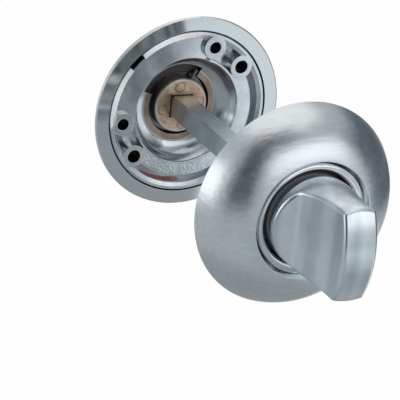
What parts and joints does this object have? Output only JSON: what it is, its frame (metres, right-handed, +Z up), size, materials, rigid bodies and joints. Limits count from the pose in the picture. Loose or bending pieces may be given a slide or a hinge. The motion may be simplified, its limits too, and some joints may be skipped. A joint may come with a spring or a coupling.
{
  "type": "bathroom thumb turn lock",
  "caption": "Privacy thumb turn set for a bathroom door: round domed roses on a square spindle, a pinched thumb turn inside and a coin slot release outside.",
  "frame": {"origin": "on the spindle's axis at the thumb turn rose's door face", "axes": "+Y along the spindle from the thumb turn rose through the door to the release rose, +Z up along the thumb turn's blade, +X to the right as seen from inside the bathroom"},
  "size_m": [0.054, 0.1099, 0.054],
  "materials": {
    "satin_nickel": "brushed satin nickel plate on zinc alloy",
    "polished_chrome": "polished chrome plate on zinc alloy",
    "cast_zinc": "plated zinc alloy casting, fine cast texture",
    "bronze": "turned bronze",
    "zinc_steel": "zinc plated drawn steel bar",
    "spring_steel": "dark spring steel",
    "nylon": "natural nylon"
  },
  "bodies": {
    "roses": {"inside_cover": "satin_nickel", "inside_trim_ring": "polished_chrome", "inside_base": "cast_zinc", "inside_snap_ring": "spring_steel", "inside_bush": "bronze", "inside_thrust_washer": "nylon", "outside_cover": "satin_nickel", "outside_trim_ring": "polished_chrome", "outside_base": "cast_zinc", "outside_snap_ring": "spring_steel", "outside_bush": "bronze", "outside_thrust_washer": "nylon"},
    "turning_set": {"thumb_turn": "satin_nickel", "spindle": "zinc_steel", "release_button": "satin_nickel", "inside_drive_collar": "bronze", "inside_stop_pin": "spring_steel", "inside_disc_spring": "spring_steel", "outside_drive_collar": "bronze", "outside_stop_pin": "spring_steel", "outside_disc_spring": "spring_steel"}
  },
  "joints": [
    {"name": "thumb_turn_hinge", "type": "hinge", "parent": "roses", "child": "turning_set", "pos_m": [0, 0, 0], "axis": [0, -1, 0], "range_deg": [0, 90]}
  ]
}
